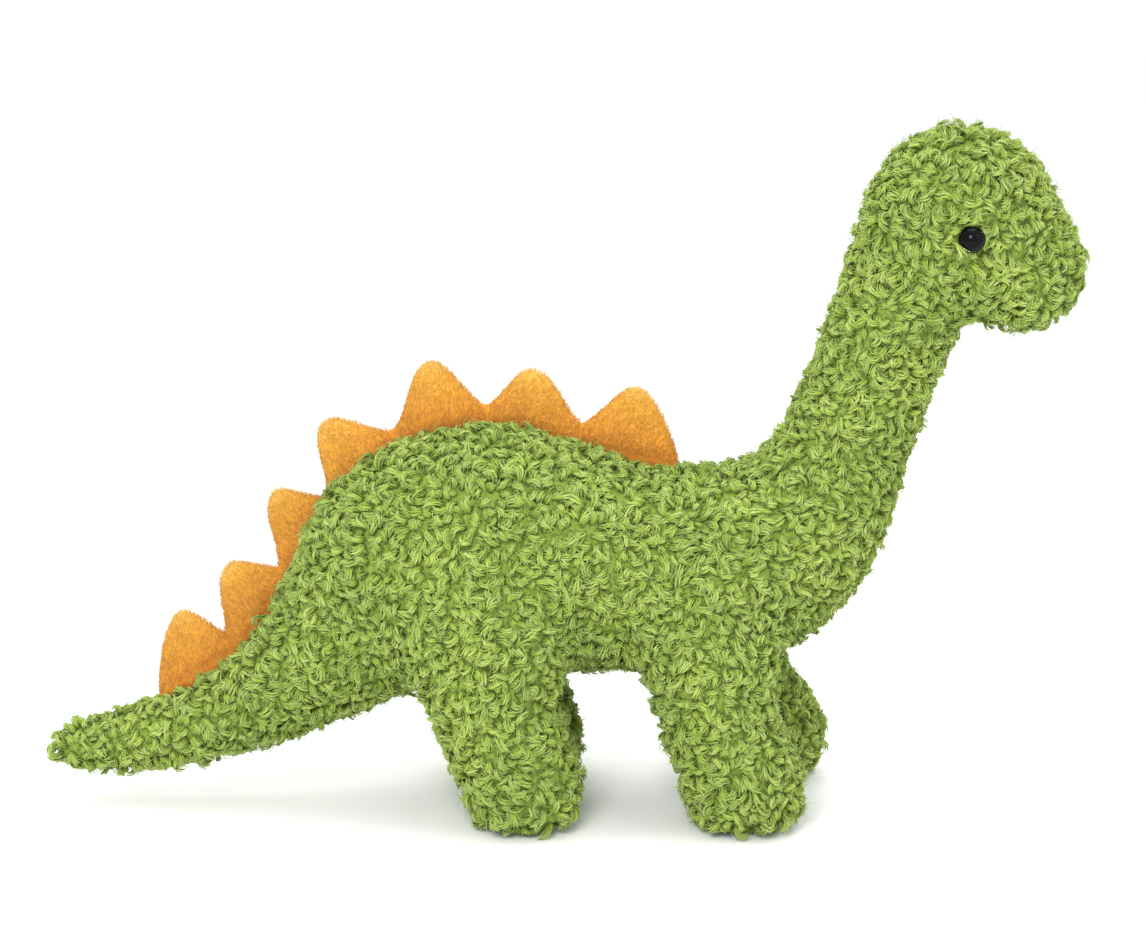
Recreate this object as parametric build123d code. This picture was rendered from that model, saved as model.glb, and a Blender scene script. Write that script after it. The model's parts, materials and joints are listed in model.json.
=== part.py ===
from build123d import *
import math
import os

# A stuffed long-necked dinosaur standing on four feet, with seven stuffed spikes along its back and tail.
# Millimetres. +X towards the head, +Y towards its left side, +Z up. The origin is on the ground, under the
# middle of the box round the whole toy. A panel of curly pile fabric is as thick as its backing and pile
# together, and each part of the body holds its own loose fibre filling. The places where the toy bends are
# a ball on the slimmer part and a socket in the other.

# --- fabric and clearances -------------------------------------------------------------------------
PILE = 6.0  # curly pile fabric, backing and pile together
MINKY = 1.2  # short smooth fabric of the spikes
PACKED = 0.25  # room between a fabric panel and the filling behind it
LINING = 1.6  # fabric that closes the torso behind a hip
BEND_GAP = 0.6  # room between a ball and its socket
STOP_ANGLE = 1.5  # degrees kept free past the end of a travel
BIG = 500.0  # longer than the toy, for cutting tools

# --- trunk: tail, torso and neck are one curved tube -------------------------------------------------
# x, z, lean of the section from upright in degrees, half height, half width
TRUNK_SECTIONS = [
    (-179.8, 20.2, 4, 3.4, 3.4),
    (-177.0, 20.4, 4, 8.0, 8.0),
    (-169.0, 21.4, 6, 10.4, 10.6),
    (-157.0, 23.2, 9, 12.2, 12.6),
    (-141.0, 26.6, 14, 13.9, 14.8),
    (-122.0, 32.4, 22, 16.4, 17.8),
    (-102.0, 42.6, 31, 21.0, 22.2),
    (-84.0, 56.4, 36, 27.0, 27.6),
    (-66.0, 72.6, 30, 35.0, 34.5),
    (-50.0, 86.0, 18, 44.2, 40.6),
    (-30.0, 92.0, 4, 46.8, 43.2),
    (-8.0, 91.0, -4, 43.6, 42.6),
    (16.0, 86.6, -5, 39.4, 40.4),
    (40.0, 84.0, 0, 38.0, 38.6),
    (60.0, 86.0, 16, 36.6, 36.6),
    (77.0, 95.6, 42, 31.4, 32.6),
    (89.0, 112.0, 62, 26.0, 27.2),
    (99.0, 137.0, 69, 23.6, 24.0),
    (107.5, 160.0, 70, 23.2, 23.4),
    (115.0, 181.0, 70, 23.6, 23.8),
]
HOLLOW_FROM = 2  # first section that is wide enough to hold filling
BELLY_WIDTH = 17.0  # panel between the legs

# --- bends: centre, lean of the trunk there, radius of the ball ---------------------------------------
NECK_BEND = dict(at=(87.6, 0.0, 109.4), lean=60, ball=28.2)
TAIL_BEND = dict(at=(-82.4, 0.0, 58.2), lean=35, ball=29.4)
HEAD_BEND = dict(at=(113.0, 0.0, 176.0), lean=70, ball=25.0)

# --- head: a skull and a snout, a little narrower than they are tall ---------------------------------
SKULL = dict(at=(134.8, 0.0, 206.6), radius=34.4)
SNOUT = dict(at=(156.4, 0.0, 190.6), radius=23.6)
HEAD_NARROW = 0.9
GUSSET_WIDTH = 26.0  # panel from the nose over the crown to the nape
GUSSET_LEAN = 22.0  # degrees that the lower edge of that panel drops from nape to nose

# --- eyes -------------------------------------------------------------------------------------------
EYE_AT = (133.5, 202.0)  # x, z
EYE_SUNK = 2.4  # from the surface of the pile down to the back of the dome
EYE_RADIUS = 4.6
EYE_HEIGHT = 4.4
SHANK_RADIUS = 1.6
SHANK_LENGTH = 11.0
WASHER_RADIUS = 7.0
WASHER_THICKNESS = 1.5
WASHER_BEHIND = PILE + 1.0  # from the back of the dome to the middle of the washer
EYE_FIT = 0.3  # room round an eye and its washer
WASHER_GRIP = 0.05  # room between a shank and its washer

# --- legs -------------------------------------------------------------------------------------------
HIP_Z = 58.0
HIP_Y = 31.0
HIP_BALL = 20.6
HIP_ROOM = 1.4  # room round a hip and between its ball and the torso
SWING_ROOM = 4.4  # room ahead of and behind a hip, for the top of the swinging leg
SOLE = 4.0  # height of the sole panel
SECTION_APART = 3.0  # least height from the inside of the sole to the next oval
# height, step forward from the hip, half length, half width
LEG_SECTIONS = [
    (0.0, 8.0, 16.4, 15.4),
    (5.0, 8.6, 20.6, 18.8),
    (14.0, 8.6, 22.0, 20.2),
    (27.0, 5.2, 20.4, 19.8),
    (42.0, 1.6, 19.2, 19.2),
    (HIP_Z, 0.0, 19.0, 19.0),
]
# hip's x, side, degrees that the leg already stands forward, travel back, travel forward
LEGS = {
    "leg_front_right": (51.0, -1, 0.0, -14.0, 20.0),
    "leg_front_left": (51.0, 1, 13.0, -27.0, 7.0),
    "leg_rear_right": (-24.5, -1, 0.0, -20.0, 14.0),
    "leg_rear_left": (-24.5, 1, 0.0, -20.0, 14.0),
}

# --- spikes: a row along the seam of the back ----------------------------------------------------------
CREST_X = [39.5, 4.0, -28.0, -58.5, -80.5, -97.4, -117.0, -145.0]  # ends of the spikes along the toy
# along its seam and out from it, for the tip of each spike
SPIKE_TIPS = [(-2.4, 22.6), (-4, 20.6), (1.6, 24.8), (2.4, 24.2), (6.4, 21.8), (5, 20.2), (6.2, 21.2)]
SPIKE_TIP_RADIUS = 4.6
SPIKE_SHOULDER = 4.6  # height of the valley between two spikes
SPIKE_APART = 1.5  # half the gap between two spikes
SPIKE_SEAM = 1.4  # half thickness at the seam
SPIKE_FULL = 3.8  # half thickness where a spike is fullest
SPIKE_FULL_AT = 9.0  # height of that place
SPIKE_EDGE = 2.0  # half thickness at the tip
SPIKE_DEEP = 1.6  # how far its seam lies below the pile
SPIKE_ROOM = 0.5  # room round a spike's seam in the pile
TRENCH_RISE = 16.0  # higher than the pile over a seam
TRENCH_ENDS = 0.4  # room past each end of a seam
SPIKE_PACKED = 0.15  # room between a spike's fabric and its filling
SPIKE_FLOP = 16.0  # degrees to each side
TAIL_SPIKES = (6, 7)


def ball(at, radius):
    return Pos(*at) * Sphere(radius)


def side_of(bend, way):
    """Everything on the head's side of a bend, or with way -1 on the tail's side."""
    along = math.radians(bend["lean"])
    normal = (way * math.cos(along), 0, way * math.sin(along))
    return Plane(origin=bend["at"], z_dir=normal) * Pos(0, 0, BIG / 2) * Box(BIG, BIG, BIG)


def side_strip(low, high):
    """Everything between two distances to the toy's left."""
    return Pos(0, (low + high) / 2, 0) * Box(2 * BIG, high - low, 2 * BIG)


def halves(shell):
    """The left and right halves of a shell."""
    return shell & side_strip(0, BIG), shell & side_strip(-BIG, 0)


def trunk(less=0.0):
    """Tail, torso and neck as one smooth solid, with less taken off all round."""
    ovals = []
    for x, z, lean, half_height, half_width in TRUNK_SECTIONS[HOLLOW_FROM if less else 0 :]:
        angle = math.radians(lean)
        across = Plane(origin=(x, 0, z), x_dir=(0, 1, 0), z_dir=(math.cos(angle), 0, math.sin(angle)))
        ovals.append(across * Ellipse(half_width - less, half_height - less))
    return loft(ovals)


def crest(x):
    """The point of the trunk's back over x, straight from one oval to the next."""
    backs = []
    for oval_x, oval_z, lean, half_height, _ in TRUNK_SECTIONS:
        angle = math.radians(lean)
        backs.append((oval_x - half_height * math.sin(angle), oval_z + half_height * math.cos(angle)))
    for (x0, z0), (x1, z1) in zip(backs, backs[1:]):
        if x0 <= x <= x1:
            return Vector(x, z0 + (z1 - z0) * (x - x0) / (x1 - x0))
    raise ValueError(f"no back over {x}")


def spike_place(number):
    """The plane of one spike, x along its seam and y outwards, and the length of its seam."""
    back, front = crest(CREST_X[number]), crest(CREST_X[number - 1])
    along = front - back
    inwards = Vector(along.Y, -along.X).normalized() * SPIKE_DEEP
    middle = (front + back) * 0.5 + inwards
    x_dir = (along.X, 0, along.Y)
    return Plane(origin=(middle.X, 0, middle.Y), x_dir=x_dir, z_dir=(0, -1, 0)), along.length


def spike_blade(number, less, with_seam):
    """A spike's solid, with less taken off all round, lying in its own plane."""
    length = spike_place(number)[1]
    lean, top = SPIKE_TIPS[number - 1]
    half = length / 2 - SPIKE_APART - less
    low = -SPIKE_SEAM if with_seam else SPIKE_SEAM
    shoulder = Pos(0, (SPIKE_SHOULDER - less + low) / 2) * Rectangle(2 * half, SPIKE_SHOULDER - less - low)
    tip = Pos(lean, top - SPIKE_TIP_RADIUS) * Circle(SPIKE_TIP_RADIUS - less)
    side = make_hull([*shoulder.edges(), *tip.edges()])
    rounds = [
        Pos(0, SPIKE_FULL_AT) * Circle(SPIKE_FULL - less),
        Pos(0, top - SPIKE_EDGE) * Circle(SPIKE_EDGE - less),
    ]
    if with_seam:
        rounds.append(Circle(SPIKE_SEAM))
    end = make_hull([edge for disc in rounds for edge in disc.edges()])
    profile = extrude(Plane.ZY * end, half, both=True)
    return extrude(side, SPIKE_FULL, both=True) & profile


def tail_socket_room(number):
    """The tail's socket as a spike meets it over its whole flop."""
    place = spike_place(number)[0]
    limit = SPIKE_FLOP + STOP_ANGLE
    socket = place.location.inverse() * ball(TAIL_BEND["at"], TAIL_BEND["ball"] + BEND_GAP)
    return [place * Rot(flop, 0, 0) * socket for flop in (-limit, 0, limit)]


def spike_solids(number):
    """The two fabric panels of a spike and its filling."""
    place = spike_place(number)[0]
    outer = spike_blade(number, 0.0, True)
    shell = place * (outer - spike_blade(number, MINKY, False))
    filling = place * spike_blade(number, MINKY + SPIKE_PACKED, False)
    if number not in TAIL_SPIKES:
        shell -= tail_socket_room(number)
        filling -= tail_socket_room(number)
    left, right = halves(shell)
    return {
        f"spike_{number}_panel_left": left,
        f"spike_{number}_panel_right": right,
        f"spike_{number}_filling": filling,
    }


def spike_trench(number):
    """The hollow in the pile that a spike's seam turns in."""
    place, length = spike_place(number)
    radius = SPIKE_SEAM + SPIKE_ROOM
    widening = math.asin((SPIKE_FULL - SPIKE_SEAM) / SPIKE_FULL_AT)
    opening = widening + math.radians(SPIKE_FLOP + STOP_ANGLE)
    foot = (radius * math.cos(opening), -radius * math.sin(opening))
    head = (foot[0] + TRENCH_RISE * math.tan(opening), foot[1] + TRENCH_RISE)
    wedge = Polyline((-foot[0], foot[1]), foot, head, (-head[0], head[1]), close=True)
    reach = length / 2 + TRENCH_ENDS
    cut = extrude(Plane.ZY * make_face(wedge), reach, both=True)
    bed = Rot(0, 90, 0) * Cylinder(radius, 2 * reach)
    return place * (cut + bed)


def leg_lift(forward):
    """How far a leg that stands forward is lifted, so that its heel rests on the ground."""
    turn = math.radians(forward)
    _, step, half_length, _ = LEG_SECTIONS[0]
    return HIP_Z * (math.cos(turn) - 1) + (half_length - step) * math.sin(turn)


def hip_place(name):
    hip_x, side, forward, _, _ = LEGS[name]
    return Pos(hip_x, side * HIP_Y, HIP_Z + leg_lift(forward))


def leg_form(less=0.0, floor=0.0):
    """A leg below its hip at the origin, with its ball, standing on floor."""
    ovals = []
    for height, step, half_length, half_width in LEG_SECTIONS:
        if height == 0 or height > floor + SECTION_APART:
            z = max(height, floor) - HIP_Z
            ovals.append(Pos(step, 0, z) * Ellipse(half_length - less, half_width - less))
    return loft(ovals) + Sphere(HIP_BALL - less)


def leg_solids(name):
    _, side, forward, _, _ = LEGS[name]
    shell = leg_form() - leg_form(PILE, SOLE)
    above_sole = Pos(0, 0, SOLE - HIP_Z + BIG / 2) * Box(BIG, BIG, BIG)
    left, right = halves(shell & above_sole)
    pieces = {
        f"{name}_outer_panel": left if side > 0 else right,
        f"{name}_inner_panel": right if side > 0 else left,
        f"{name}_sole": shell - above_sole,
        f"{name}_filling": leg_form(PILE + PACKED, SOLE + PACKED),
    }
    place = hip_place(name) * Rot(0, -forward, 0)
    return {node: place * piece for node, piece in pieces.items()}


def hip_well(name, more=0.0):
    """The hollow that a hip sits in, open downwards as far as its leg swings."""
    _, side, forward, back, front = LEGS[name]
    radius = HIP_BALL + SWING_ROOM + more
    deep = HIP_BALL * 3
    inside = HIP_Y - max(HIP_BALL, LEG_SECTIONS[-1][3]) - HIP_ROOM - more
    across = side * (inside + deep / 2 - HIP_Y)
    slot_half = LEG_SECTIONS[-2][2] + HIP_ROOM + more
    well = Pos(0, across, 0) * Rot(90, 0, 0) * Cylinder(radius, deep)
    for travel in (back - STOP_ANGLE, front + STOP_ANGLE):
        slot = Pos(0, across, -HIP_Z / 2) * Box(2 * slot_half, deep, HIP_Z)
        well += Rot(0, -forward - travel, 0) * slot
    return hip_place(name) * well


def torso_solids(outer, hollow, packed):
    """The trunk between the tail's bend and the neck's, with sockets, hip hollows and spike trenches."""
    sockets = [ball(bend["at"], bend["ball"] + BEND_GAP) for bend in (TAIL_BEND, NECK_BEND)]
    ends = [side_of(NECK_BEND, 1), side_of(TAIL_BEND, -1)]
    wells, lined, snug = ([hip_well(name, more) for name in LEGS] for more in (0.0, LINING, LINING + PACKED))
    trenches = [spike_trench(n) for n in range(1, len(CREST_X)) if n not in TAIL_SPIKES]
    shell = outer - ends - sockets - wells - trenches - (hollow - lined)
    belly = Box(BIG, BELLY_WIDTH, 2 * HIP_Z)
    left, right = halves(shell - belly)
    return {
        "torso_panel_left": left,
        "torso_panel_right": right,
        "belly_gusset": shell & belly,
        "torso_filling": packed - ends - sockets - snug - trenches,
    }


def neck_solids(outer, hollow, packed):
    """The neck's tube with a ball at each end."""
    forms = []
    for tube, less in ((outer, 0.0), (hollow, PILE), (packed, PILE + PACKED)):
        kept = (tube & side_of(NECK_BEND, 1)) - side_of(HEAD_BEND, 1)
        balls = [ball(bend["at"], bend["ball"] - less) for bend in (NECK_BEND, HEAD_BEND)]
        forms.append(kept + balls)
    left, right = halves(forms[0] - forms[1])
    return {"neck_panel_left": left, "neck_panel_right": right, "neck_filling": forms[2]}


def tail_solids(outer, hollow, packed):
    """The tail behind its bend, with the ball that it swings on."""
    forms = []
    for tube, less in ((outer, 0.0), (hollow, PILE), (packed, PILE + PACKED)):
        kept = tube & side_of(TAIL_BEND, -1)
        forms.append(kept + ball(TAIL_BEND["at"], TAIL_BEND["ball"] - less))
    trenches = [spike_trench(n) for n in TAIL_SPIKES]
    left, right = halves(forms[0] - forms[1] - trenches)
    return {"tail_panel_left": left, "tail_panel_right": right, "tail_filling": forms[2] - trenches}


def tapered_capsule(start, end, less):
    """The solid round two balls and everything between them, with less taken off all round."""
    a, b = Vector(*start["at"]), Vector(*end["at"])
    length = (b - a).length
    ra, rb = start["radius"] - less, end["radius"] - less
    slope = math.asin((ra - rb) / length)
    first = (ra * math.cos(slope), ra * math.sin(slope))
    last = (rb * math.cos(slope), length + rb * math.sin(slope))
    cone = Polyline((0, first[1]), first, last, (0, last[1]), close=True)
    turned = revolve(Plane.XZ * make_face(cone), Axis.Z)
    body = turned + Sphere(ra) + Pos(0, 0, length) * Sphere(rb)
    return Plane(origin=a, z_dir=b - a) * body


def head_form(less=0.0):
    narrow = HEAD_NARROW - less * (1 - HEAD_NARROW) / SKULL["radius"]
    return scale(tapered_capsule(SKULL, SNOUT, less), by=(1, narrow, 1))


def eye_place(side):
    """The middle of the back of an eye's dome, with z outwards, sunk in the pile of the skull."""
    x, z = EYE_AT
    skull_x, _, skull_z = SKULL["at"]
    surface = HEAD_NARROW * math.sqrt(SKULL["radius"] ** 2 - (x - skull_x) ** 2 - (z - skull_z) ** 2)
    return Pos(x, side * (surface - EYE_SUNK), z) * Rot(-side * 90, 0, 0)


def eye_solids(side):
    """A domed eye with its shank, and the washer that holds it behind the fabric."""
    dome = scale(Sphere(EYE_RADIUS), by=(1, 1, EYE_HEIGHT / EYE_RADIUS))
    dome &= Pos(0, 0, EYE_RADIUS) * Box(3 * EYE_RADIUS, 3 * EYE_RADIUS, 2 * EYE_RADIUS)
    shank = Pos(0, 0, -SHANK_LENGTH / 2) * Cylinder(SHANK_RADIUS, SHANK_LENGTH)
    ring = Cylinder(WASHER_RADIUS, WASHER_THICKNESS) - Cylinder(SHANK_RADIUS + WASHER_GRIP, SHANK_LENGTH)
    name = "left" if side > 0 else "right"
    return {
        f"eye_{name}": eye_place(side) * (dome + shank),
        f"eye_washer_{name}": eye_place(side) * Pos(0, 0, -WASHER_BEHIND) * ring,
    }


def eye_room(side):
    """The hole that an eye needs in the fabric and the room that its washer needs in the filling."""
    up = 4 * EYE_RADIUS
    pocket = Pos(0, 0, up / 2 - EYE_FIT) * Cylinder(EYE_RADIUS + EYE_FIT, up)
    bore = Pos(0, 0, -SHANK_LENGTH / 2) * Cylinder(SHANK_RADIUS + EYE_FIT, SHANK_LENGTH + 2 * EYE_FIT)
    washer_top = up / 2 - WASHER_BEHIND - WASHER_THICKNESS / 2 - EYE_FIT
    washer_room = Pos(0, 0, washer_top) * Cylinder(WASHER_RADIUS + EYE_FIT, up)
    return eye_place(side) * (pocket + bore), eye_place(side) * (washer_room + bore)


def head_solids():
    socket = ball(HEAD_BEND["at"], HEAD_BEND["ball"] + BEND_GAP)
    rooms = [eye_room(side) for side in (1, -1)]
    shell = head_form() - head_form(PILE) - socket - [room[0] for room in rooms]
    top = Pos(*SKULL["at"]) * Rot(0, GUSSET_LEAN, 0) * Pos(0, 0, BIG / 2) * Box(BIG, GUSSET_WIDTH, BIG)
    left, right = halves(shell - top)
    solids = {
        "head_gusset": shell & top,
        "head_panel_left": left,
        "head_panel_right": right,
        "head_filling": head_form(PILE + PACKED) - socket - [room[1] for room in rooms],
    }
    for side in (1, -1):
        solids |= eye_solids(side)
    return solids


def toy_solids():
    tubes = trunk(), trunk(PILE), trunk(PILE + PACKED)
    solids = torso_solids(*tubes) | neck_solids(*tubes) | tail_solids(*tubes) | head_solids()
    for name in LEGS:
        solids |= leg_solids(name)
    for number in range(1, len(CREST_X)):
        solids |= spike_solids(number)
    return solids


os.makedirs("parts", exist_ok=True)
for node, solid in toy_solids().items():
    export_step(solid, f"parts/{node}.step")
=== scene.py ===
import json
import math

import bmesh
import bpy
import numpy as np
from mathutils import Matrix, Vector


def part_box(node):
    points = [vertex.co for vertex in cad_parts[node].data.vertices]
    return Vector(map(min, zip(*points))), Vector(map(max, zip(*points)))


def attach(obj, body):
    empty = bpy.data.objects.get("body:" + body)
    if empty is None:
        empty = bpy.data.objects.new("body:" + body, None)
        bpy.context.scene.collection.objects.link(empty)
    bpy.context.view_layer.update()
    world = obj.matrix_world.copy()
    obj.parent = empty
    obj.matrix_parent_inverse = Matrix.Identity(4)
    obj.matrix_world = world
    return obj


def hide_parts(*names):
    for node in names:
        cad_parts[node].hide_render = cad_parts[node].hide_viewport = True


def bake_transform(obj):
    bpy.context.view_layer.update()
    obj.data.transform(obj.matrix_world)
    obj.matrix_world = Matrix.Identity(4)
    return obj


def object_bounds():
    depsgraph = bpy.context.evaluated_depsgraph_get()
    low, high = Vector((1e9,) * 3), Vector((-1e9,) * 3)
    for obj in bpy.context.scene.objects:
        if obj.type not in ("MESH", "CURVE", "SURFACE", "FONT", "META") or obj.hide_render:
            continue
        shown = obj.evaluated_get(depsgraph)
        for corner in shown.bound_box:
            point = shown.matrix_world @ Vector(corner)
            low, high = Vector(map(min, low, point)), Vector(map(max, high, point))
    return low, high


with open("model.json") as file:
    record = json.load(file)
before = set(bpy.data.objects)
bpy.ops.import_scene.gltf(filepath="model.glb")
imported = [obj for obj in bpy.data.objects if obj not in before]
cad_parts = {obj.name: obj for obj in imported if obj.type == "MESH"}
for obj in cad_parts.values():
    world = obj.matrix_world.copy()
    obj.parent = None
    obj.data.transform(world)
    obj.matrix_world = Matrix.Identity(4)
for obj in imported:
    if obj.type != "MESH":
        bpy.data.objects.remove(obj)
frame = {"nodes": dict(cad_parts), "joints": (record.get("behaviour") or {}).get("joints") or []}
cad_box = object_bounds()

# A stuffed dinosaur of curly pile fabric. Lengths are in metres, except in TRUNK, HEAD and LEG, which are in
# millimetres. The skin under the pile is one smooth form, split where the toy bends. Locks of curled fibre
# grow from it. The spikes are stuffed pads of short pile.
MM = 0.001
random = np.random.default_rng(7)
TINY = 1e-9  # keeps a division from failing

# --- the body's form: x, z, half height, half width of each oval, to the tips of the pile ---------------
TRUNK = [
    (-178, 19.6, 8, 8),
    (-172, 20.2, 10.8, 10.8),
    (-157, 22.2, 13.4, 13.4),
    (-141, 25.6, 15, 15.2),
    (-122, 31.8, 17.2, 18.2),
    (-102, 42.6, 21.4, 22.6),
    (-84, 56.4, 27.6, 28),
    (-66, 72.6, 35.4, 35),
    (-50, 86, 44.4, 40.6),
    (-30, 91.8, 46.6, 43.2),
    (-8, 90.6, 43.4, 42.4),
    (16, 86.6, 39.2, 40.4),
    (40, 84.4, 38, 38.6),
    (60, 87, 36.6, 36.8),
    (77, 96.6, 31.6, 32.8),
    (89, 113, 26.4, 27.4),
    (99, 137, 23.8, 24.2),
    (107.5, 160, 23.4, 23.6),
    (116, 184, 24, 24),
    (122, 198, 23, 23),
]
HEAD = [(133.4, 205.8, 34.4, 31), (155.4, 189.2, 23.4, 21.6)]
# a leg's ovals: height over the sole, step forward, half length, half width
LEG = [
    (9, 9.6, 21.6, 19.4),
    (16, 9, 22.8, 20),
    (27, 4.8, 22.4, 19.8),
    (42, 0, 23, 19.6),
    (58, -2, 24.8, 19),
    (74, -2, 22, 14),
]
LEG_NAMES = ["leg_front_right", "leg_front_left", "leg_rear_right", "leg_rear_left"]
LEG_FORWARD = {"leg_front_left": 16}  # degrees
THIGH = 1.12  # a rear leg's ovals are this much longer at its top than a front leg's
THIGH_FROM = 30  # height in millimetres where that starts
THIGH_OVER = 25  # and the height over which it grows
TRUNK_STEPS = 120  # places along the trunk and the head's tube
LEG_STEPS = 40
LEG_JOIN = 15 * MM  # how softly a leg runs into the body
HEAD_JOIN = 9 * MM
PILE = 4.5 * MM  # from the backing to the tips
CELL = 2.6 * MM  # of the grid that the backing's faces come from
MARGIN = 6 * MM  # of that grid round the CAD's box
CHUNK = 20000  # points worked on at a time
SLOPE_STEP = 1 * MM  # for finding the way out of the body

# --- strands, as shares of their radius -----------------------------------------------------------------
STRAND_WIDE = 1.15
STRAND_FLAT = 0.75
TIP_SWELL = 0.42
TIP_LENGTH = 0.9

# --- locks ----------------------------------------------------------------------------------------------
LOCK_SPACING = 2.15 * MM
LOCK_LENGTH = 6.9 * MM
LOCK_WIDTH = 0.85 * MM  # from the middle to the outer strands at the root
GATHER = 0.5  # how far the strands of a lock draw together at its tip
SIDES = 3  # of a strand
# the strands of a lock: how many, rings along one, radius, how far it strays, how far out it is rooted
THICK = dict(count=4, rings=5, radius=0.36 * MM, loose=1.0, spread=0.66)
FINE = dict(count=7, rings=4, radius=0.17 * MM, loose=1.9, spread=1.35)
STRAY = dict(count=3, rings=4, radius=0.085 * MM, loose=5.0, spread=1.4)
LOCK_TRIES = 170000
MOST_LOCKS = 560  # in one piece
SWIRL_SIZE = 3.2 * MM
SWIRL_SHARE = 0.5
SWIRL_WAVES = 10
FULL_TURN = 6.28
COMB_WILD = 1.6  # how far a lock strays from the way it is combed
COMB_DOWN = np.array([-0.1, 0, -1.2])
LEAN = (-12, 24)  # degrees from the way out, at the root
CURL = (110, 215)  # and at the tip
TURN = (30, 190)  # degrees round the way out
STRAND_ANGLES = (5, 9)  # degrees that a strand strays from its lock: in lean, and in curl and turn
FLOOR_GAP = 0.1 * MM
EYE_CLEAR = 4.5 * MM  # no lock grows nearer to the middle of an eye
EYE_FRINGE = 6.8 * MM  # locks this near lean over its rim
FRINGE = dict(share=0.8, wild=0.25, lean=10, curl=105, turn=0.35)


def joint(name):
    return next(j for j in frame["joints"] if j["name"] == name)


def place_of(name):
    return np.array(joint(name)["pos_m"])


def unit(v):
    return v / np.maximum(np.linalg.norm(v, axis=-1, keepdims=True), TINY)


def smooth_rows(rows, count):
    """Rows of numbers along an even Catmull-Rom curve through them."""
    rows = np.array(rows, float)
    padded = np.vstack([2 * rows[0] - rows[1], rows, 2 * rows[-1] - rows[-2]])
    t = np.linspace(0, len(rows) - 1, count)
    i = np.minimum(t.astype(int), len(rows) - 2)
    u = (t - i)[:, None]
    a, b, c, d = (padded[i + k] for k in range(4))
    return 0.5 * (2 * b + (c - a) * u + (2 * a - 5 * b + 4 * c - d) * u**2 + (3 * b - a - 3 * c + d) * u**3)


def tube_field(points, rows, y_middle=0.0, count=TRUNK_STEPS):
    """About how far points lie outside a tube of ovals along a curve in an upright plane."""
    curve = smooth_rows(rows, count) * MM
    middle, half_height, half_width = curve[:, :2], curve[:, 2], curve[:, 3]
    along = np.gradient(middle, axis=0)
    along /= np.linalg.norm(along, axis=1, keepdims=True)
    field = np.empty(len(points))
    for start in range(0, len(points), CHUNK):
        part = points[start : start + CHUNK]
        flat = part[:, [0, 2]]
        near = ((flat[:, None, :] - middle[None]) ** 2).sum(2) / half_height[None] ** 2
        i = near.argmin(1)
        offset = flat - middle[i]
        past = np.einsum("ij,ij->i", offset, along[i])
        high = offset[:, 1] * along[i, 0] - offset[:, 0] * along[i, 1]
        wide = part[:, 1] - y_middle
        a, b = half_height[i], half_width[i]
        reach = np.sqrt((high / a) ** 2 + (wide / b) ** 2 + (past / a) ** 2)
        field[start : start + CHUNK] = (reach - 1) * (a + b) / 2
    return field


def join(a, b, soft):
    """The smaller of two fields, rounded where they meet."""
    near = np.maximum(soft - np.abs(a - b), 0) / soft
    return np.minimum(a, b) - near**2 * soft / 4


def leg_fields(points):
    """For each leg, about how far points lie outside it."""
    fields = {}
    for name in LEG_NAMES:
        x, y, z = place_of(name.replace("leg_", "hip_"))
        forward = math.radians(LEG_FORWARD.get(name, 0))
        stretch = THIGH if "rear" in name else 1.0
        rows = []
        for height, step, half_length, half_width in LEG:
            down = height - z / MM
            turned_x = step * math.cos(forward) - down * math.sin(forward)
            turned_z = down * math.cos(forward) + step * math.sin(forward)
            longer = 1 + (stretch - 1) * min(1, max(0, (height - THIGH_FROM) / THIGH_OVER))
            rows.append((x / MM + turned_x, z / MM + turned_z, half_length * longer, half_width))
        fields[name] = np.maximum(tube_field(points, rows, y, LEG_STEPS), -points[:, 2])
    return fields


def body_field(points):
    """How far points lie outside the whole body, to the tips of the pile."""
    field = join(tube_field(points, TRUNK), tube_field(points, HEAD), HEAD_JOIN)
    for leg in leg_fields(points).values():
        field = join(field, leg, LEG_JOIN)
    return field


def surface_net(field, low, cell):
    """Corners and four-sided faces of the surface where a field on a grid is zero."""
    shape = np.array(field.shape) - 1
    total = np.zeros((*shape, 3))
    count = np.zeros(shape)
    corners = [(i, j, k) for i in (0, 1) for j in (0, 1) for k in (0, 1)]
    inside = field < 0

    def corner(grid, c):
        return grid[c[0] : c[0] + shape[0], c[1] : c[1] + shape[1], c[2] : c[2] + shape[2]]

    for a in corners:
        for b in corners:
            if sum(b) - sum(a) == 1 and all(q >= p for p, q in zip(a, b)):
                crossed = corner(inside, a) != corner(inside, b)
                va, vb = corner(field, a)[crossed], corner(field, b)[crossed]
                share = (va / (va - vb))[:, None]
                total[crossed] += np.array(a) + share * (np.array(b) - np.array(a))
                count[crossed] += 1
    used = count > 0
    index = np.full(shape, -1)
    index[used] = np.arange(used.sum())
    cells = np.argwhere(used)
    verts = low + (cells + total[used] / count[used][:, None]) * cell
    quads = []
    for axis in range(3):
        second, third = (axis + 1) % 3, (axis + 2) % 3
        ahead = np.roll(inside, -1, axis)
        for mask, flip in ((inside & ~ahead, False), (~inside & ahead, True)):
            spots = np.argwhere(mask)
            keep = (spots >= 1).all(1) & (spots < shape).all(1)
            spots = spots[keep]
            step_b, step_c = np.eye(3, dtype=int)[second], np.eye(3, dtype=int)[third]
            ring = [spots - step_b - step_c, spots - step_c, spots, spots - step_b]
            face = np.stack([index[r[:, 0], r[:, 1], r[:, 2]] for r in ring], 1)
            quads.append(face[:, ::-1] if flip else face)
    return verts, np.vstack(quads)


def skin_net():
    """The backing of the pile, as corners and faces."""
    low = np.array(cad_box[0]) - MARGIN
    high = np.array(cad_box[1]) + MARGIN
    axes = [np.arange(low[i], high[i], CELL) for i in range(3)]
    grid = np.stack(np.meshgrid(*axes, indexing="ij"), -1)
    field = (body_field(grid.reshape(-1, 3)) + PILE).reshape(grid.shape[:3])
    return surface_net(field, low, CELL)


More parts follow.
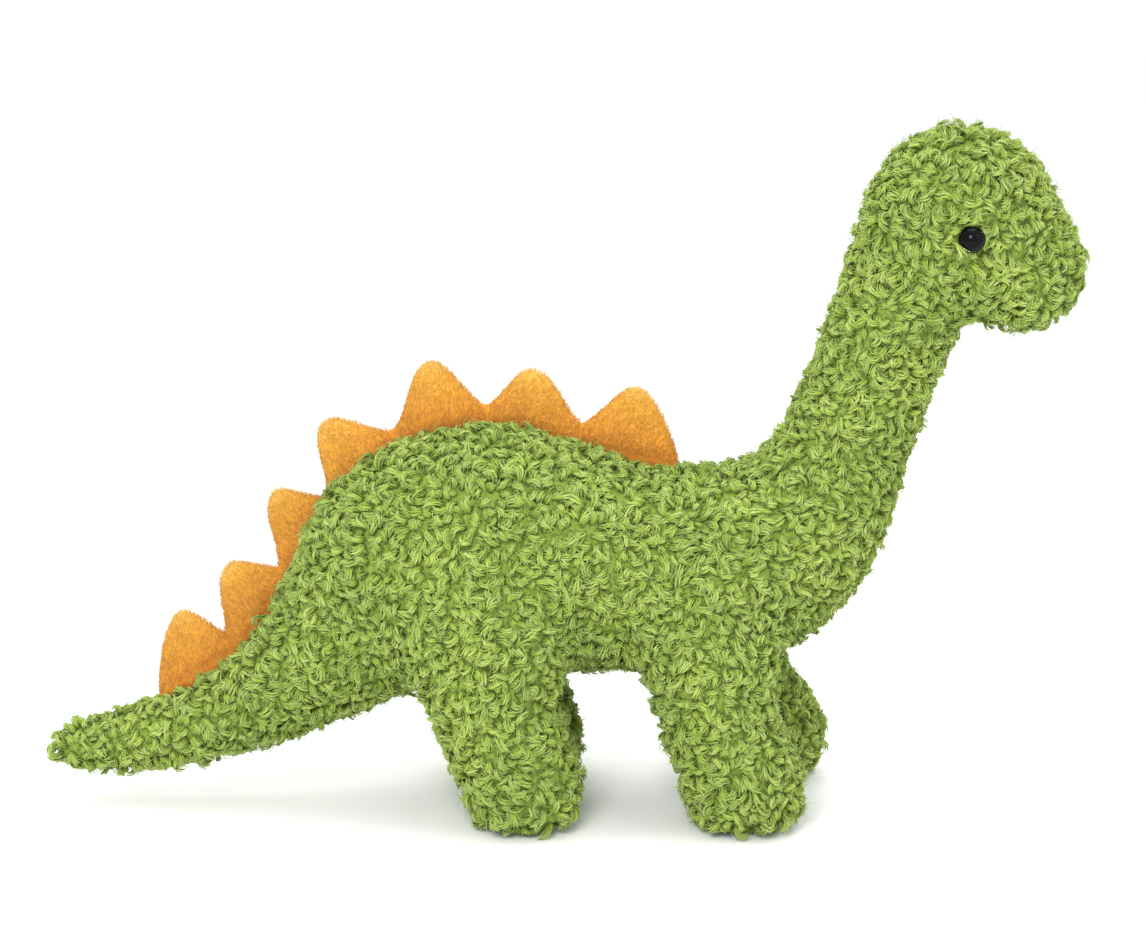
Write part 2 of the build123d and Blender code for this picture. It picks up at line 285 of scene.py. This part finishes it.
def way_out(points):
    """The way out of the body at each point."""
    slopes = []
    for axis in np.eye(3):
        ahead, behind = points + axis * SLOPE_STEP, points - axis * SLOPE_STEP
        slopes.append(body_field(ahead) - body_field(behind))
    return unit(np.stack(slopes, 1))


# --- which body each place belongs to ---------------------------------------------------------------------
def toward(lean_degrees):
    """The way forward and up at this many degrees over level."""
    lean = math.radians(lean_degrees)
    return np.array([math.cos(lean), 0, math.sin(lean)])


# only what is beyond these can be tail, neck or head
TAIL_BEHIND = -40 * MM
NECK_ABOVE = 90 * MM
HEAD_ABOVE = 150 * MM


# child: parent, joint, direction of the bend, how far before and after the joint it starts and ends
BENDS = {
    "neck": ("torso", "neck_bend", toward(60), -20 * MM, 20 * MM),
    "head": ("neck", "head_nod", toward(53), -14 * MM, 10 * MM),
    "tail": ("torso", "tail_swing", -toward(35), -18 * MM, 22 * MM),
}
LEG_BEND = (np.array([0, 0, -1.0]), 6 * MM, 30 * MM)
for leg_name in LEG_NAMES:
    BENDS[leg_name] = ("torso", leg_name.replace("leg_", "hip_"), *LEG_BEND)


def past_bend(points, body):
    """Which points lie past the start of a body's bend."""
    _, hinge, way, start, _ = BENDS[body]
    return (points - place_of(hinge)) @ way > start


def body_at(points):
    """The name of the body that each point belongs to."""
    names = np.full(len(points), "torso", dtype=object)
    names[past_bend(points, "tail") & (points[:, 0] < TAIL_BEHIND)] = "tail"
    names[past_bend(points, "neck") & (points[:, 2] > NECK_ABOVE)] = "neck"
    names[past_bend(points, "head") & (points[:, 2] > HEAD_ABOVE)] = "head"
    best = tube_field(points, TRUNK)
    for name, field in leg_fields(points).items():
        mine = (field < best) & (points[:, 2] < place_of("hip_front_right")[2])
        names[mine] = name
        best = np.where(mine, field, best)
    return names


def bend_piece(piece, body):
    """Attaches a torso piece to the torso's body; any other piece only has its transform baked into its mesh.
    """
    if body == "torso":
        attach(piece, "torso")
        return
    parent, hinge, way, start, end = BENDS[body]
    pivot = place_of(hinge)
    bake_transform(piece)


# --- materials --------------------------------------------------------------------------------------------
def new_material(name):
    material = bpy.data.materials.new(name)
    material.use_nodes = True
    tree = material.node_tree
    return material, tree, tree.nodes["Principled BSDF"]


def node(tree, kind, **settings):
    made = tree.nodes.new(kind)
    for key, value in settings.items():
        setattr(made, key, value)
    return made


def attribute(tree, name):
    return node(tree, "ShaderNodeAttribute", attribute_name=name)


def ramp(tree, source, stops):
    """A colour that follows a value, through these places and colours."""
    made = node(tree, "ShaderNodeValToRGB")
    elements = made.color_ramp.elements
    while len(elements) < len(stops):
        elements.new(0.5)
    for element, (place, color) in zip(elements, stops):
        element.position = place
        element.color = (*color, 1)
    tree.links.new(source, made.inputs["Fac"])
    return made.outputs["Color"]


MIX_COLORS = (6, 7)  # the Mix node's colour inputs
MIX_RESULT = 2  # and its colour output


def mixed(tree, kind, factor, a, b):
    made = node(tree, "ShaderNodeMix", data_type="RGBA", blend_type=kind)
    made.inputs[0].default_value = factor
    for slot_index, source in zip(MIX_COLORS, (a, b)):
        if isinstance(source, tuple):
            made.inputs[slot_index].default_value = (*source, 1)
        else:
            tree.links.new(source, made.inputs[slot_index])
    return made.outputs[MIX_RESULT]


def noise(tree, scale, detail=2.0):
    place = node(tree, "ShaderNodeTexCoord")
    made = node(tree, "ShaderNodeTexNoise")
    made.inputs["Scale"].default_value = scale
    made.inputs["Detail"].default_value = detail
    tree.links.new(place.outputs["Object"], made.inputs["Vector"])
    return made.outputs["Fac"]


# from the root of a lock to its tip; the darker, more saturated root colours are painted shade deep in the
# pile
ROOT_SHADED_GREENS = [
    (0.0, (0.2, 0.29, 0.028)),
    (0.35, (0.27, 0.38, 0.055)),
    (0.75, (0.34, 0.45, 0.105)),
    (1.0, (0.4, 0.51, 0.155)),
]
# from the foot of a spike to its top; the darker foot is painted shade where the pad sinks into the pile, and
# the lighter top is painted light on its rim
SHADED_AND_LIT_ORANGES = [
    (0.0, (0.55, 0.17, 0.008)),
    (0.35, (0.64, 0.27, 0.013)),
    (0.8, (0.67, 0.34, 0.026)),
    (1.0, (0.74, 0.44, 0.07)),
]


def lock_material():
    material, tree, shader = new_material("curly_pile")
    along = attribute(tree, "along").outputs["Fac"]
    tint = attribute(tree, "tint").outputs["Fac"]
    # painted shade: the lock darkens and grows more saturated towards its root
    color = ramp(tree, along, ROOT_SHADED_GREENS)
    shade = ramp(tree, tint, [(0.0, (0.78, 0.79, 0.7)), (0.5, (1, 1, 1)), (1.0, (1.16, 1.14, 1.16))])
    toned = mixed(tree, "MULTIPLY", 1.0, color, shade)
    patches = ramp(tree, noise(tree, 38), [(0.35, (0.9, 0.92, 0.86)), (0.65, (1.06, 1.04, 1.02))])
    final = mixed(tree, "MULTIPLY", 1.0, toned, patches)
    tree.links.new(final, shader.inputs["Base Color"])
    shader.inputs["Roughness"].default_value = 0.78
    shader.inputs["Specular IOR Level"].default_value = 0.25
    shader.inputs["Sheen Weight"].default_value = 0.2
    shader.inputs["Sheen Roughness"].default_value = 0.5
    shader.inputs["Sheen Tint"].default_value = (0.8, 1.0, 0.5, 1)
    return material


def backing_material():
    material, tree, shader = new_material("pile_backing")
    color = ramp(tree, noise(tree, 900, 3), [(0.3, (0.15, 0.22, 0.025)), (0.7, (0.25, 0.35, 0.05))])
    tree.links.new(color, shader.inputs["Base Color"])
    shader.inputs["Roughness"].default_value = 0.95
    return material


# --- meshes from arrays -------------------------------------------------------------------------------------
def mesh_piece(name, verts, faces, material, values=None, smooth=True):
    """An object from arrays of corners and of faces that all have as many sides."""
    mesh = bpy.data.meshes.new(name)
    sides = faces.shape[1]
    mesh.vertices.add(len(verts))
    mesh.vertices.foreach_set("co", verts.astype(np.float32).ravel())
    mesh.loops.add(faces.size)
    mesh.loops.foreach_set("vertex_index", faces.astype(np.int32).ravel())
    mesh.polygons.add(len(faces))
    mesh.polygons.foreach_set("loop_start", np.arange(0, faces.size, sides, dtype=np.int32))
    mesh.polygons.foreach_set("use_smooth", np.full(len(faces), smooth))
    for key, column in (values or {}).items():
        layer = mesh.attributes.new(key, "FLOAT", "POINT")
        layer.data.foreach_set("value", column.astype(np.float32))
    mesh.update(calc_edges=True)
    piece = bpy.data.objects.new(name, mesh)
    bpy.context.scene.collection.objects.link(piece)
    mesh.materials.append(material)
    return piece


def swirl(points, size, seed):
    """A smooth field of directions that turns over about this distance."""
    waves = np.random.default_rng(seed)
    field = np.zeros_like(points)
    for _ in range(SWIRL_WAVES):
        k = waves.normal(size=3) / size
        field += np.sin(points @ k + waves.uniform(0, FULL_TURN))[:, None] * waves.normal(size=3)
    return field


def scatter(verts, quads, spacing, tries):
    """Points on a net of faces, nowhere nearer than spacing to each other."""
    a, b, c, d = (verts[quads[:, i]] for i in range(4))
    area = np.linalg.norm(np.cross(c - a, d - b), axis=1)
    chosen = random.choice(len(quads), tries, p=area / area.sum())
    u, v = random.random((2, tries, 1))
    points = (a[chosen] * (1 - u) + b[chosen] * u) * (1 - v) + (d[chosen] * (1 - u) + c[chosen] * u) * v
    cells = np.floor(points / spacing).astype(int)
    seen = {}
    kept = []
    limit = spacing * spacing
    around = [(i, j, k) for i in (-1, 0, 1) for j in (-1, 0, 1) for k in (-1, 0, 1)]
    for n, (p, cell) in enumerate(zip(points.tolist(), cells.tolist())):
        x, y, z = cell
        clear = True
        for i, j, k in around:
            for q in seen.get((x + i, y + j, z + k), ()):
                if (q[0] - p[0]) ** 2 + (q[1] - p[1]) ** 2 + (q[2] - p[2]) ** 2 < limit:
                    clear = False
                    break
            if not clear:
                break
        if clear:
            seen.setdefault((x, y, z), []).append(p)
            kept.append(n)
    return points[kept]


def strands(root, gathered, out, comb, length, radius, lean, curl, turn, tint, rings):
    """Closed tapered strands: corners, faces, and the values along and tint at each corner.

    A strand leaves its root leaning toward comb and curls over to its tip, while it turns round out.
    """
    count = len(root)
    side = unit(np.cross(out, comb))
    comb = np.cross(side, out)
    s = np.linspace(0, 1, rings)
    rise = lean[:, None] + (curl - lean)[:, None] * s[None] ** 1.15
    sweep = turn[:, None] * s[None] ** 1.3
    flat = np.cos(sweep)[..., None] * comb[:, None] + np.sin(sweep)[..., None] * side[:, None]
    way = np.cos(rise)[..., None] * out[:, None] + np.sin(rise)[..., None] * flat
    steps = length[:, None, None] * (way[:, 1:] + way[:, :-1]) / 2 / (rings - 1)
    path = root[:, None] + np.concatenate([np.zeros((count, 1, 3)), np.cumsum(steps, 1)], 1)
    path += gathered[:, None] * s[None, :, None] ** 1.2
    across = -np.sin(sweep)[..., None] * comb[:, None] + np.cos(sweep)[..., None] * side[:, None]
    thick = np.cross(way, across)
    swell = 0.7 + 0.45 * np.sin(np.pi * np.minimum(s * 0.9 + 0.1, 1.0)) ** 0.8
    swell[-1] = TIP_SWELL
    size = radius[:, None] * swell[None]
    angles = 2 * np.pi * np.arange(SIDES) / SIDES
    ring = (
        np.cos(angles)[None, None, :, None] * across[:, :, None] * STRAND_WIDE
        + np.sin(angles)[None, None, :, None] * thick[:, :, None] * STRAND_FLAT
    ) * size[:, :, None, None]
    body = path[:, :, None] + ring
    tip = path[:, -1] + way[:, -1] * (radius * TIP_LENGTH)[:, None]
    verts = np.concatenate([body.reshape(count, -1, 3), tip[:, None], path[:, :1]], 1)
    along = np.concatenate([np.repeat(s, SIDES), [1.0, 0.0]])
    faces = []
    for j in range(rings - 1):
        for i in range(SIDES):
            k = (i + 1) % SIDES
            a, b, c, d = j * SIDES + i, j * SIDES + k, (j + 1) * SIDES + k, (j + 1) * SIDES + i
            faces += [(a, b, c), (a, c, d)]
    last, tip_at, root_at = (rings - 1) * SIDES, rings * SIDES, rings * SIDES + 1
    for i in range(SIDES):
        k = (i + 1) % SIDES
        faces += [(last + i, last + k, tip_at), (k, i, root_at)]
    each = rings * SIDES + 2
    faces = (np.array(faces)[None] + (np.arange(count) * each)[:, None, None]).reshape(-1, 3)
    values = {"along": np.tile(along, count), "tint": np.repeat(tint, each)}
    return verts.reshape(-1, 3), faces, values


def toward_eye(points):
    """The way from each point to the eye on its side, and how far off that is seen from the side."""
    low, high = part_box("eye_left")
    middle = (np.array(low) + np.array(high)) / 2
    eye = np.repeat(middle[None], len(points), 0)
    eye[:, 1] *= np.sign(points[:, 1])
    offset = eye - points
    return unit(offset), np.hypot(offset[:, 0], offset[:, 2])


def curly_locks(points, out):
    """Locks of fibres that curl over together, with finer and looser fibres round them."""
    count = len(points)
    flow = SWIRL_SHARE * swirl(points, SWIRL_SIZE, 3) + random.normal(size=(count, 3)) * COMB_WILD
    flow += COMB_DOWN
    flow -= (flow * out).sum(1, keepdims=True) * out
    comb = unit(flow)
    side = np.cross(out, comb)
    hand = random.choice([-1.0, 1.0], count)
    lean = np.radians(random.uniform(*LEAN, count))
    curl = np.radians(random.uniform(*CURL, count))
    turn = hand * np.radians(random.uniform(*TURN, count))
    length = LOCK_LENGTH * random.uniform(0.7, 1.2, count)
    tint = random.uniform(0.2, 0.8, count)
    eyewards, eye_off = toward_eye(points)
    fringe = (eye_off < EYE_FRINGE) & (random.random(count) < FRINGE["share"])
    comb[fringe] = unit(eyewards + random.normal(size=(count, 3)) * FRINGE["wild"])[fringe]
    lean[fringe] = np.radians(FRINGE["lean"])
    curl[fringe] = np.radians(FRINGE["curl"])
    turn[fringe] *= FRINGE["turn"]
    lean_stray, curl_stray = STRAND_ANGLES
    parts = []
    for kind in (THICK, FINE, STRAY):
        loose = kind["loose"]
        for n in range(kind["count"]):
            angle = 2 * math.pi * (n + 0.5 * loose) / kind["count"]
            spread = LOCK_WIDTH * kind["spread"] * random.uniform(0.7, 1.15, (count, 1))
            offset = (math.cos(angle) * comb + math.sin(angle) * side) * spread
            parts.append(
                strands(
                    points + offset,
                    -offset * GATHER,
                    out,
                    unit(comb + random.normal(size=(count, 3)) * 0.1 * loose),
                    length * random.uniform(0.86, 1.08, count),
                    kind["radius"] * random.uniform(0.8, 1.15, count),
                    lean + np.radians(random.normal(size=count) * lean_stray * loose),
                    curl + np.radians(random.normal(size=count) * curl_stray * loose),
                    turn + np.radians(random.normal(size=count) * curl_stray * loose),
                    np.clip(tint + random.normal(size=count) * 0.14, 0, 1),
                    kind["rings"],
                )
            )
    offsets = np.cumsum([0] + [len(p[0]) for p in parts[:-1]])
    verts = np.vstack([p[0] for p in parts])
    verts[:, 2] = np.maximum(verts[:, 2], FLOOR_GAP)
    faces = np.vstack([p[1] + o for p, o in zip(parts, offsets)])
    values = {k: np.concatenate([p[2][k] for p in parts]) for k in ("along", "tint")}
    return verts, faces, values


def region_of(points, names):
    """The fabric panel that each point lies on: its body, and left or right of the seam."""
    regions = []
    for name, p in zip(names, points):
        side = "left" if p[1] > 0 else "right"
        if name.startswith("leg"):
            inner = abs(p[1]) < abs(place_of(name.replace("leg_", "hip_"))[1])
            side = "inner" if inner else "outer"
        regions.append(f"{name}_pile_{side}")
    return np.array(regions)


def pile_pieces(points, out, names, material):
    """The pile, one piece to a panel, and a large panel in a few pieces along the toy."""
    regions = region_of(points, names)
    for region in sorted(set(regions)):
        mine = np.flatnonzero(regions == region)
        mine = mine[np.argsort(points[mine, 0], kind="stable")]
        shares = np.array_split(mine, math.ceil(len(mine) / MOST_LOCKS))
        for number, share in enumerate(shares, 1):
            name = region if len(shares) == 1 else f"{region}_{number}"
            corners, faces, values = curly_locks(points[share], out[share])
            piece = mesh_piece(name, corners, faces, material, values)
            bend_piece(piece, names[share][0])


def split_net(verts, quads, owner):
    """Each body's own share of a net of faces, with its corners numbered afresh."""
    middle = verts[quads].mean(1)
    names = owner(middle)
    for name in sorted(set(names)):
        mine = quads[names == name]
        used, fresh = np.unique(mine, return_inverse=True)
        yield name, verts[used], fresh.reshape(mine.shape)


def close_holes(piece):
    """Fills the openings where a piece was cut from its neighbours."""
    mesh = bmesh.new()
    mesh.from_mesh(piece.data)
    open_edges = [e for e in mesh.edges if e.is_boundary]
    if open_edges:
        bmesh.ops.holes_fill(mesh, edges=open_edges, sides=0)
        bmesh.ops.recalc_face_normals(mesh, faces=mesh.faces)
    mesh.to_mesh(piece.data)
    mesh.free()


# --- spikes -----------------------------------------------------------------------------------------------
SPIKE_RISE = 36  # faces up a pad
SPIKE_ROUND = 56  # faces along it
SPIKE_FOOT = -3.5 * MM  # how deep in the pile a spike is sewn
SPIKE_HEM = 0.5 * MM  # how much deeper its corners start
SPIKE_TOP = 0.5 * MM  # corners this near the CAD's highest one tell where the tip is
SPIKE_OVERLAP = 2.4 * MM  # that a pad runs past the CAD's at each end, into the next
SPIKE_VALLEY = 5.8 * MM  # height between two spikes
SPIKE_HALF_THICK = 4.3 * MM
FOOT_TAPER = 7 * MM  # height over which a pad thickens from its foot
NAP_SPACING = 0.42 * MM
NAP_TRIES = 9000
NAP_LENGTH = 1.5 * MM
NAP_RADIUS = 0.075 * MM
NAP_RINGS = 3
NAP_FREE = 1.2 * MM  # bare edge where a spike meets the next


def orange_material():
    material, tree, shader = new_material("short_pile")
    height = attribute(tree, "height").outputs["Fac"]
    # painted shade at the foot of the spike and painted light at its top
    color = ramp(tree, height, SHADED_AND_LIT_ORANGES)
    streaks = ramp(tree, noise(tree, 700, 4), [(0.3, (0.82, 0.74, 0.6)), (0.7, (1.08, 1.1, 1.16))])
    patches = ramp(tree, noise(tree, 120, 2), [(0.3, (0.9, 0.86, 0.78)), (0.7, (1.05, 1.06, 1.1))])
    toned = mixed(tree, "MULTIPLY", 1.0, color, streaks)
    final = mixed(tree, "MULTIPLY", 1.0, toned, patches)
    tree.links.new(final, shader.inputs["Base Color"])
    shader.inputs["Roughness"].default_value = 0.8
    shader.inputs["Sheen Weight"].default_value = 0.6
    shader.inputs["Sheen Roughness"].default_value = 0.4
    shader.inputs["Sheen Tint"].default_value = (1.0, 0.8, 0.4, 1)
    return material


def spike_place(number):
    """The middle of a spike's seam, the way along the seam, and the way out of the back."""
    hinge = joint(f"spike_{number}_flop")
    along = np.array(hinge["axis"])
    return place_of(hinge["name"]), along, np.array([-along[2], 0, along[0]])


def bend_spike(piece, number):
    """Bakes the transform of a piece of a spike into its mesh."""
    base, _, out = spike_place(number)
    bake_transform(piece)


def spike_pads(material):
    """The seven stuffed spikes, as flat pads whose faces swell and whose edges pinch into a seam."""
    for number in range(1, 8):
        base, along, out = spike_place(number)
        cad = frame["nodes"][f"spike_{number}_panel_right"]
        co = np.array([v.co for v in cad.data.vertices])
        x = (co - base) @ along
        h = (co - base) @ out
        half = (x.max() - x.min()) / 2 + SPIKE_OVERLAP
        top = h.max()
        lean = x[h > top - SPIKE_TOP].mean()
        flat, quads, heights = spike_shape(half, top, lean, number == 7, number == 1)
        verts = base + flat[:, [0]] * along + flat[:, [1]] * out + flat[:, [2]] * np.array([0, 1.0, 0])
        piece = mesh_piece(f"spike_{number}", verts, quads, material, {"height": heights})
        bend_spike(piece, number)
        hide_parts(*[f"spike_{number}_{part}" for part in ("panel_left", "panel_right", "filling")])
        spike_nap(number, half, verts, quads, material)


def spike_nap(number, half, verts, quads, material):
    """Short fibres over a spike that lie towards its tip."""
    base, along, out = spike_place(number)
    points = scatter(verts, quads, NAP_SPACING, NAP_TRIES)
    rise = (points - base) @ out
    apart = np.abs((points - base) @ along) < half - NAP_FREE
    points = points[(rise > 0) & apart]
    rise = rise[(rise > 0) & apart]
    count = len(points)
    side = np.where(points[:, [1]] > 0, 1.0, -1.0) * np.array([[0, 1.0, 0]])
    comb = unit(out[None] + along[None] * 0.3 + random.normal(size=(count, 3)) * 0.35)
    corners, faces, values = strands(
        points,
        np.zeros((count, 3)),
        unit(side + random.normal(size=(count, 3)) * 0.1),
        comb,
        NAP_LENGTH * random.uniform(0.7, 1.3, count),
        NAP_RADIUS * random.uniform(0.8, 1.2, count),
        np.radians(random.uniform(30, 62, count)),
        np.radians(random.uniform(70, 92, count)),
        np.radians(random.normal(size=count) * 14),
        random.uniform(0, 1, count),
        NAP_RINGS,
    )
    each = len(corners) // count
    values["height"] = np.repeat(rise / rise.max(), each)
    piece = mesh_piece(f"spike_{number}_nap", corners, faces, material, values)
    bend_spike(piece, number)


def spike_shape(half, top, lean, rear_end, front_end):
    """Corners in the spike's own plane, faces and heights, for a rounded triangular pad.

    At an end of the row the pad slopes down to the pile, and elsewhere to the valley before the next.
    """
    u = np.linspace(-1, 1, SPIKE_ROUND + 1)
    v = np.linspace(0, 1, SPIKE_RISE + 1)
    peak = lean / half
    shifted = np.where(u < peak, (u - peak) / (1 + peak), (u - peak) / (1 - peak))
    wave = 0.5 + 0.5 * np.cos(np.pi * np.abs(shifted) ** 1.12)
    crown = SPIKE_VALLEY + (top - SPIKE_VALLEY) * wave**0.92
    for is_end, way in ((rear_end, -1), (front_end, 1)):
        if is_end:
            start = peak * way
            past = np.clip((u * way - start) / (1 - start), 0, 1)
            slope = SPIKE_FOOT + (top - SPIKE_FOOT) * (1 - past**1.5) ** 0.88
            crown = np.where(past > 0, slope, crown)
    bottom = SPIKE_FOOT - SPIKE_HEM
    ends = np.sqrt(np.clip(1 - np.abs(u) ** 8, 0, 1))
    rows = []
    heights = []
    for side in (1, -1):
        for share in v:
            y = bottom + (crown - bottom) * share
            rim = np.sqrt(np.clip(1 - share**5, 0, 1))
            foot = 0.45 + 0.55 * min(1, (y.mean() - bottom) / FOOT_TAPER)
            thick = side * SPIKE_HALF_THICK * rim * (0.35 + 0.65 * ends) * foot
            thick = thick * (0.55 + 0.45 * (crown - SPIKE_VALLEY) / (top - SPIKE_VALLEY))
            rows.append(np.stack([u * half, y, thick], 1))
            heights.append((y - bottom) / (top - bottom))
    verts = np.vstack(rows)
    wide = len(u)
    faces = []
    per = len(v) * wide
    for side in (0, 1):
        for j in range(len(v) - 1):
            for i in range(wide - 1):
                a = side * per + j * wide + i
                quad = (a, a + 1, a + wide + 1, a + wide)
                faces.append(quad if side == 1 else quad[::-1])
    return verts, np.array(faces), np.concatenate(heights)


# --- eyes ---------------------------------------------------------------------------------------------------
def eye_material():
    material, tree, shader = new_material("eye_gloss")
    color = ramp(tree, noise(tree, 300, 2), [(0.3, (0.001, 0.001, 0.001)), (0.7, (0.003, 0.002, 0.002))])
    tree.links.new(color, shader.inputs["Base Color"])
    shader.inputs["Roughness"].default_value = 0.1
    shader.inputs["Specular IOR Level"].default_value = 0.12
    return material


# --- studio -------------------------------------------------------------------------------------------------
SKY_POWER = 1.04
FLOOR_REACH = 6.0
LAMP_TARGET = Vector((0, 0, 0.1))
# name, place, size, power in watts
LAMPS = [
    ("key", (-0.2, -1.0, 0.72), 0.42, 9),
    ("fill", (1.2, -0.9, 0.9), 1.0, 3),
    ("top", (0.1, 0.3, 1.7), 1.2, 12),
]
CAMERA_LENS = 85
CAMERA_ELEVATION = 11  # degrees
CAMERA_TARGET = Vector((1.9, 0, 120.4)) * MM
CAMERA_DISTANCE = 0.936


def studio():
    world = bpy.data.worlds.new("studio")
    bpy.context.scene.world = world
    world.use_nodes = True
    background = world.node_tree.nodes["Background"]
    background.inputs["Color"].default_value = (1, 1, 1, 1)
    background.inputs["Strength"].default_value = SKY_POWER
    floor_material, _, shader = new_material("floor")
    shader.inputs["Base Color"].default_value = (0.96, 0.96, 0.96, 1)
    shader.inputs["Roughness"].default_value = 0.9
    reach = FLOOR_REACH
    corners = np.array([(-reach, -reach, 0), (reach, -reach, 0), (reach, reach, 0), (-reach, reach, 0)])
    floor = mesh_piece("floor", corners, np.array([[0, 1, 2, 3]]), floor_material)
    for name, place, size, power in LAMPS:
        data = bpy.data.lights.new(name, "AREA")
        data.energy = power
        data.size = size
        lamp = bpy.data.objects.new(name, data)
        bpy.context.scene.collection.objects.link(lamp)
        lamp.location = place
        lamp.rotation_euler = (LAMP_TARGET - Vector(place)).to_track_quat("-Z", "Y").to_euler()


def camera():
    data = bpy.data.cameras.new("camera")
    data.lens = CAMERA_LENS
    seat = bpy.data.objects.new("camera", data)
    bpy.context.scene.collection.objects.link(seat)
    elevation = math.radians(CAMERA_ELEVATION)
    way = Vector((0, math.cos(elevation), -math.sin(elevation)))
    seat.location = CAMERA_TARGET - way * CAMERA_DISTANCE
    seat.rotation_euler = way.to_track_quat("-Z", "Y").to_euler()
    bpy.context.scene.camera = seat


def covered_nodes():
    """For each body, the CAD's nodes that its skin stands for."""
    covers = {
        "torso": ["torso_panel_left", "torso_panel_right", "belly_gusset", "torso_filling"],
        "neck": ["neck_panel_left", "neck_panel_right", "neck_filling"],
        "head": ["head_panel_left", "head_panel_right", "head_gusset", "head_filling"],
        "tail": ["tail_panel_left", "tail_panel_right", "tail_filling"],
    }
    covers["head"] += ["eye_washer_left", "eye_washer_right"]
    for name in LEG_NAMES:
        covers[name] = [f"{name}_{part}" for part in ("outer_panel", "inner_panel", "sole", "filling")]
    return covers


def skins(verts, quads):
    """The backing under the pile, one piece to a body."""
    backing = backing_material()
    covers = covered_nodes()
    for body, corners, faces in split_net(verts, quads, body_at):
        piece = mesh_piece(f"{body}_skin", corners, faces, backing, smooth=False)
        close_holes(piece)
        bend_piece(piece, body)
        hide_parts(*covers[body])


def pile(verts, quads):
    points = scatter(verts, quads, LOCK_SPACING, LOCK_TRIES)
    out = way_out(points)
    clear = toward_eye(points)[1] > EYE_CLEAR
    points, out = points[clear], out[clear]
    pile_pieces(points, out, body_at(points), lock_material())


def eyes():
    gloss = eye_material()
    for side in ("left", "right"):
        eye = frame["nodes"][f"eye_{side}"]
        eye.data.materials.clear()
        eye.data.materials.append(gloss)


def main():
    camera()
    studio()
    bpy.context.scene.view_settings.view_transform = "Standard"
    verts, quads = skin_net()
    skins(verts, quads)
    pile(verts, quads)
    spike_pads(orange_material())
    eyes()


main()
